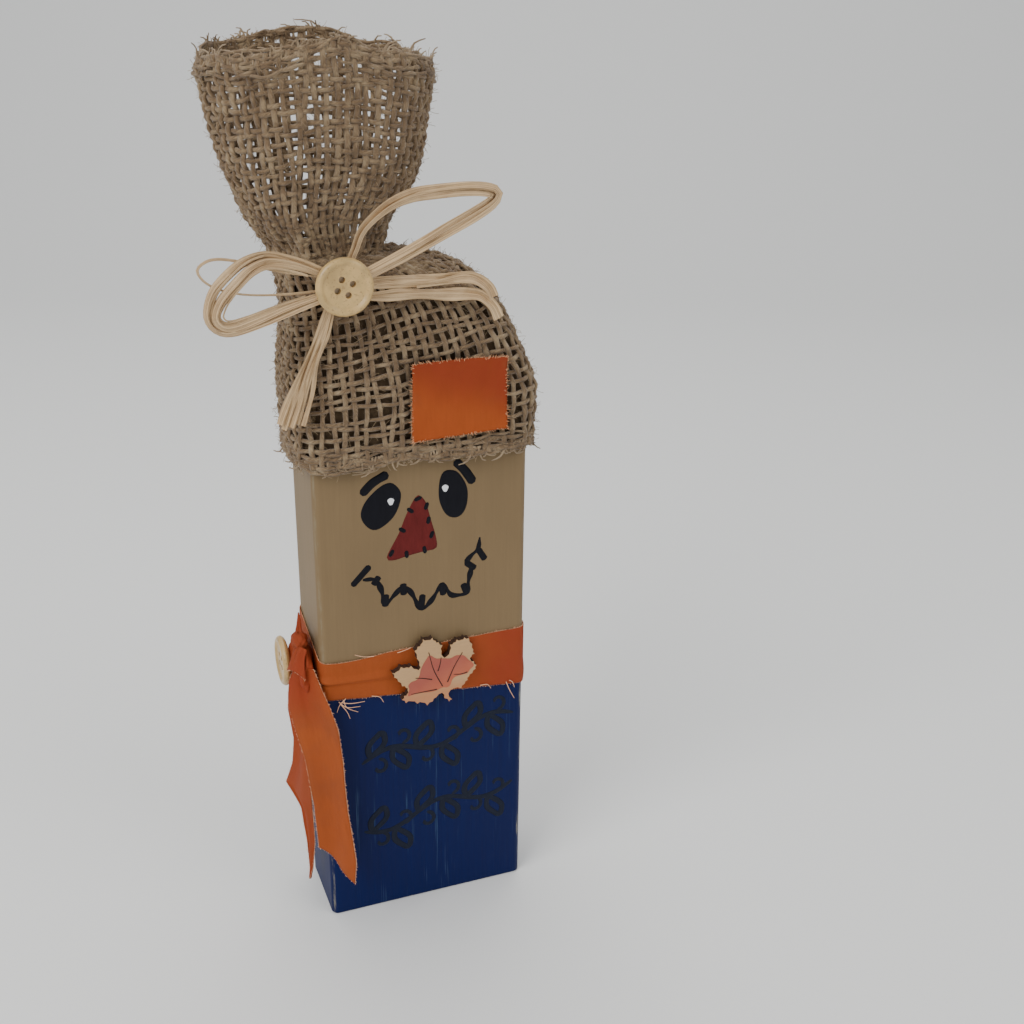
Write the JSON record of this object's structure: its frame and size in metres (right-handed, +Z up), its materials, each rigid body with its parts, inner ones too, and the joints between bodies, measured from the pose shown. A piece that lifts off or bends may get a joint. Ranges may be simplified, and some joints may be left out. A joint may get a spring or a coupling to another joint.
{
  "type": "scarecrow shelf figure",
  "caption": "Free-standing scarecrow figure: painted wooden block body, tied burlap sack hat with raffia bow, buttons, maple leaf and ribbon scarf with swinging tails.",
  "frame": {"origin": "centre of the wooden block's bottom face, which stands on the shelf", "axes": "+Z up along the block, +X to the viewer's right of the painted face, +Y to the back; the face looks along -Y"},
  "size_m": [0.1315, 0.059, 0.366],
  "materials": {
    "painted_pine": "two-tone chalky craft paint, tan above and deep blue below, rubbed through at the edges",
    "burlap": "open plain weave of coarse jute yarn",
    "patch_cotton": "shaded orange cloth with raw edges",
    "scarf_ribbon": "wire-free satin-edged ribbon shading from orange to red",
    "raffia": "dry, lightly glossy palm fibre",
    "coconut_button": "polished, finely speckled shell",
    "leaf_plywood": "laser-cut plywood with dark edges and a printed face",
    "hot_glue": "cloudy hot-melt glue"
  },
  "bodies": {
    "figure": {"wood_block": "painted_pine", "hat_sack": "burlap", "hat_patch": "patch_cotton", "patch_glue": "hot_glue", "hat_glue": "hot_glue", "hat_button": "coconut_button", "hat_button_glue": "hot_glue", "raffia_knot": "raffia", "raffia_neck_tie": "raffia", "raffia_loop_left": "raffia", "raffia_loop_right": "raffia", "raffia_stray": "raffia", "raffia_arm_upper": "raffia", "raffia_arm_lower": "raffia", "raffia_tail": "raffia", "scarf_band": "scarf_ribbon", "scarf_knot": "scarf_ribbon", "scarf_button": "coconut_button", "scarf_button_glue": "hot_glue", "scarf_knot_glue": "hot_glue", "maple_leaf": "leaf_plywood", "leaf_glue": "hot_glue"},
    "tail_front": {"scarf_tail_front": "scarf_ribbon"},
    "tail_rear": {"scarf_tail_rear": "scarf_ribbon"}
  },
  "joints": [
    {"name": "tail_front_swing", "type": "hinge", "parent": "figure", "child": "tail_front", "pos_m": [-0.04947, -0.01629, 0.1115], "axis": [-0.7071, 0.7071, 0], "range_deg": [0, 75]},
    {"name": "tail_rear_swing", "type": "hinge", "parent": "figure", "child": "tail_rear", "pos_m": [-0.04926, -0.00489, 0.1062], "axis": [-0.2588, 0.9659, 0], "range_deg": [0, 75]}
  ]
}
